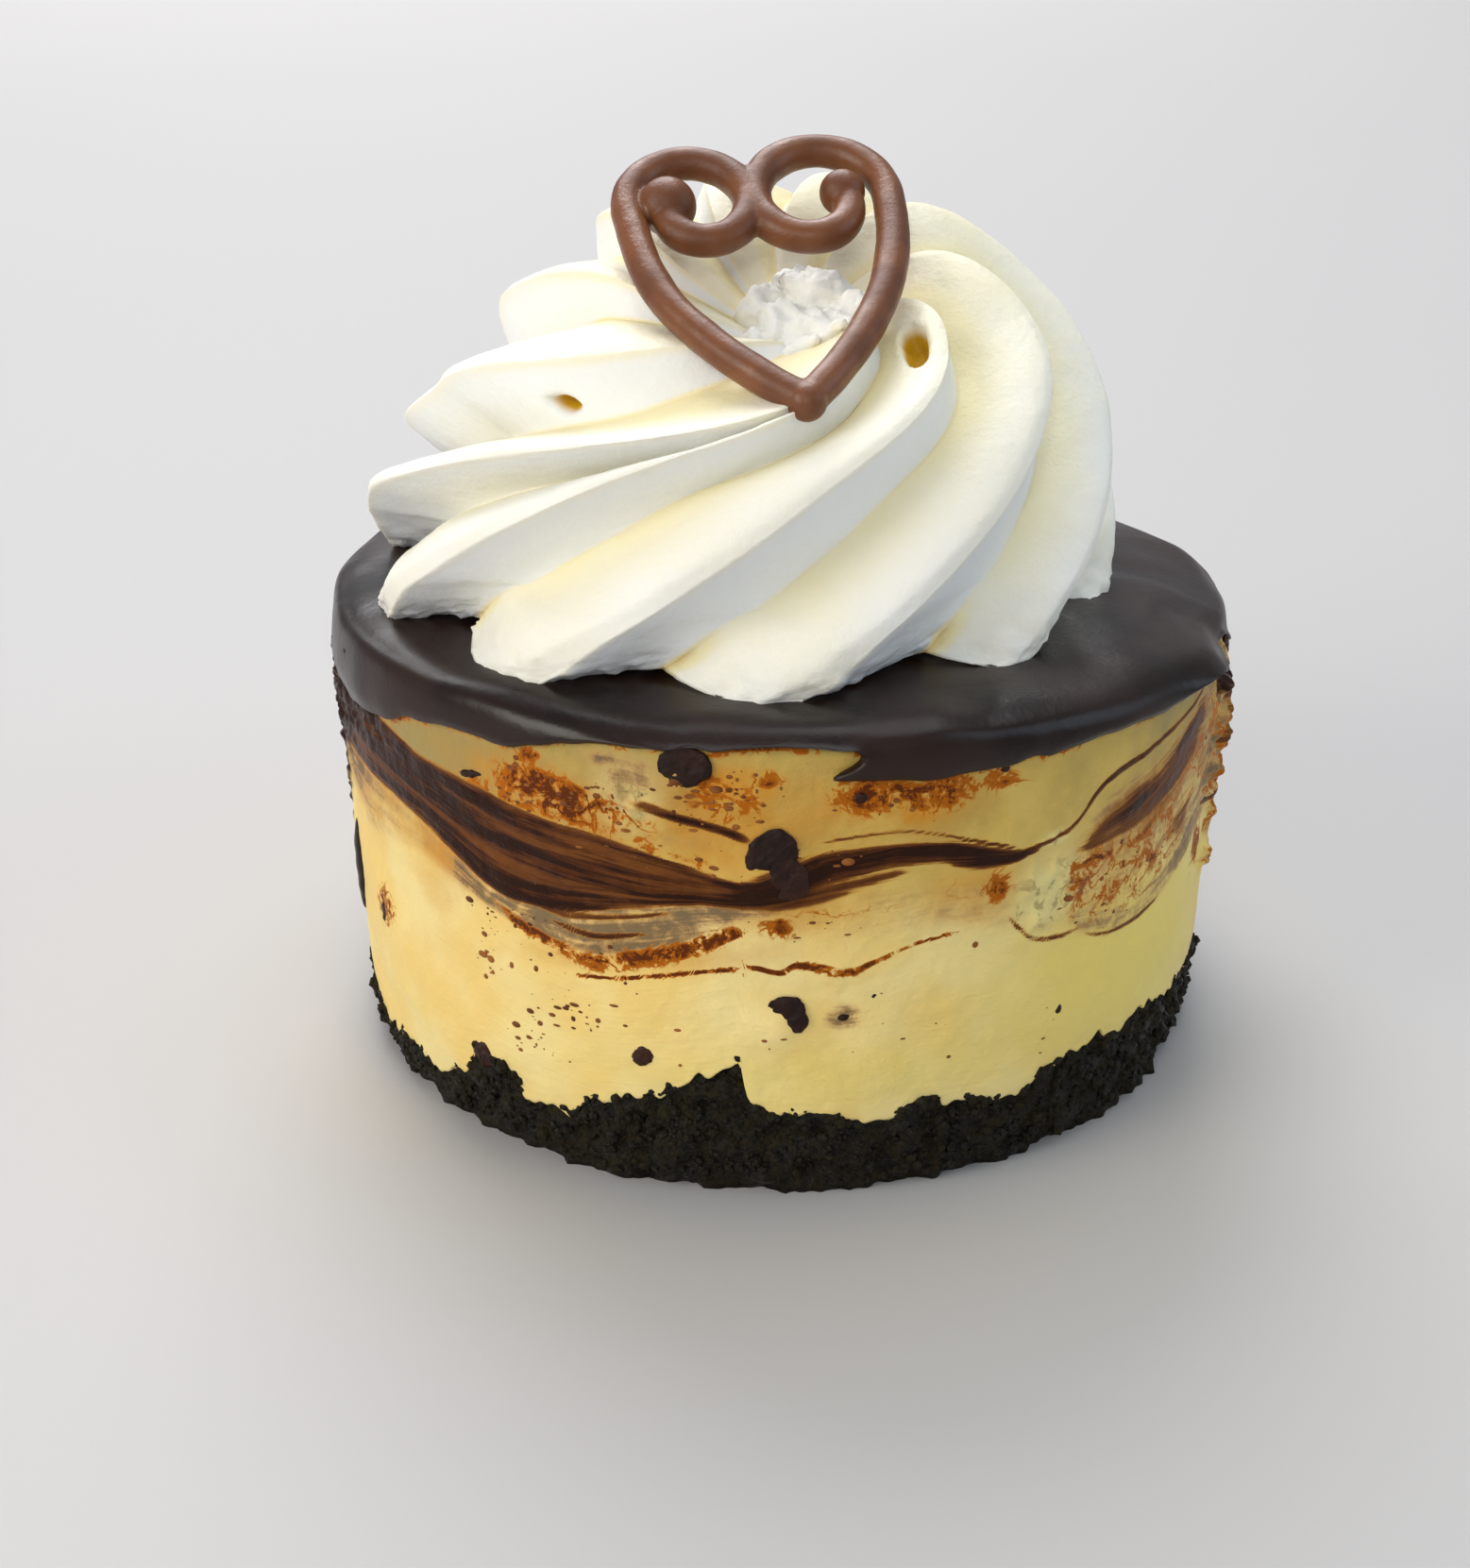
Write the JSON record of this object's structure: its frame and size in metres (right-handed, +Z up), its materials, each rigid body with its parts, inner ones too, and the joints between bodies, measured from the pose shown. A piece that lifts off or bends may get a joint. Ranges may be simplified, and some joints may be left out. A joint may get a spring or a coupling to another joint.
{
  "type": "marble cheesecake",
  "caption": "Round individual cheesecake with a marbled side, a dark crumb base, a poured chocolate glaze, a piped cream rosette and a small chocolate scroll.",
  "frame": {"origin": "middle of the underside of the crumb base, at the bottom of the bounding box", "axes": "+Z up, the side with the scroll's point faces -Y, +X to the right of that side"},
  "size_m": [0.0801, 0.0799, 0.076],
  "materials": {
    "crumb": "rough, near-black biscuit crumb with small glints",
    "filling": "baked cream cheese, pale yellow, marbled with chocolate",
    "glaze": "satin dark chocolate glaze",
    "cream": "soft warm white whipped cream",
    "chocolate": "satin milk chocolate"
  },
  "bodies": {
    "root": {"crumb_base": "crumb", "cheesecake_filling": "filling", "chocolate_glaze": "glaze", "cream_rosette": "cream", "chocolate_scroll": "chocolate"}
  },
  "joints": []
}
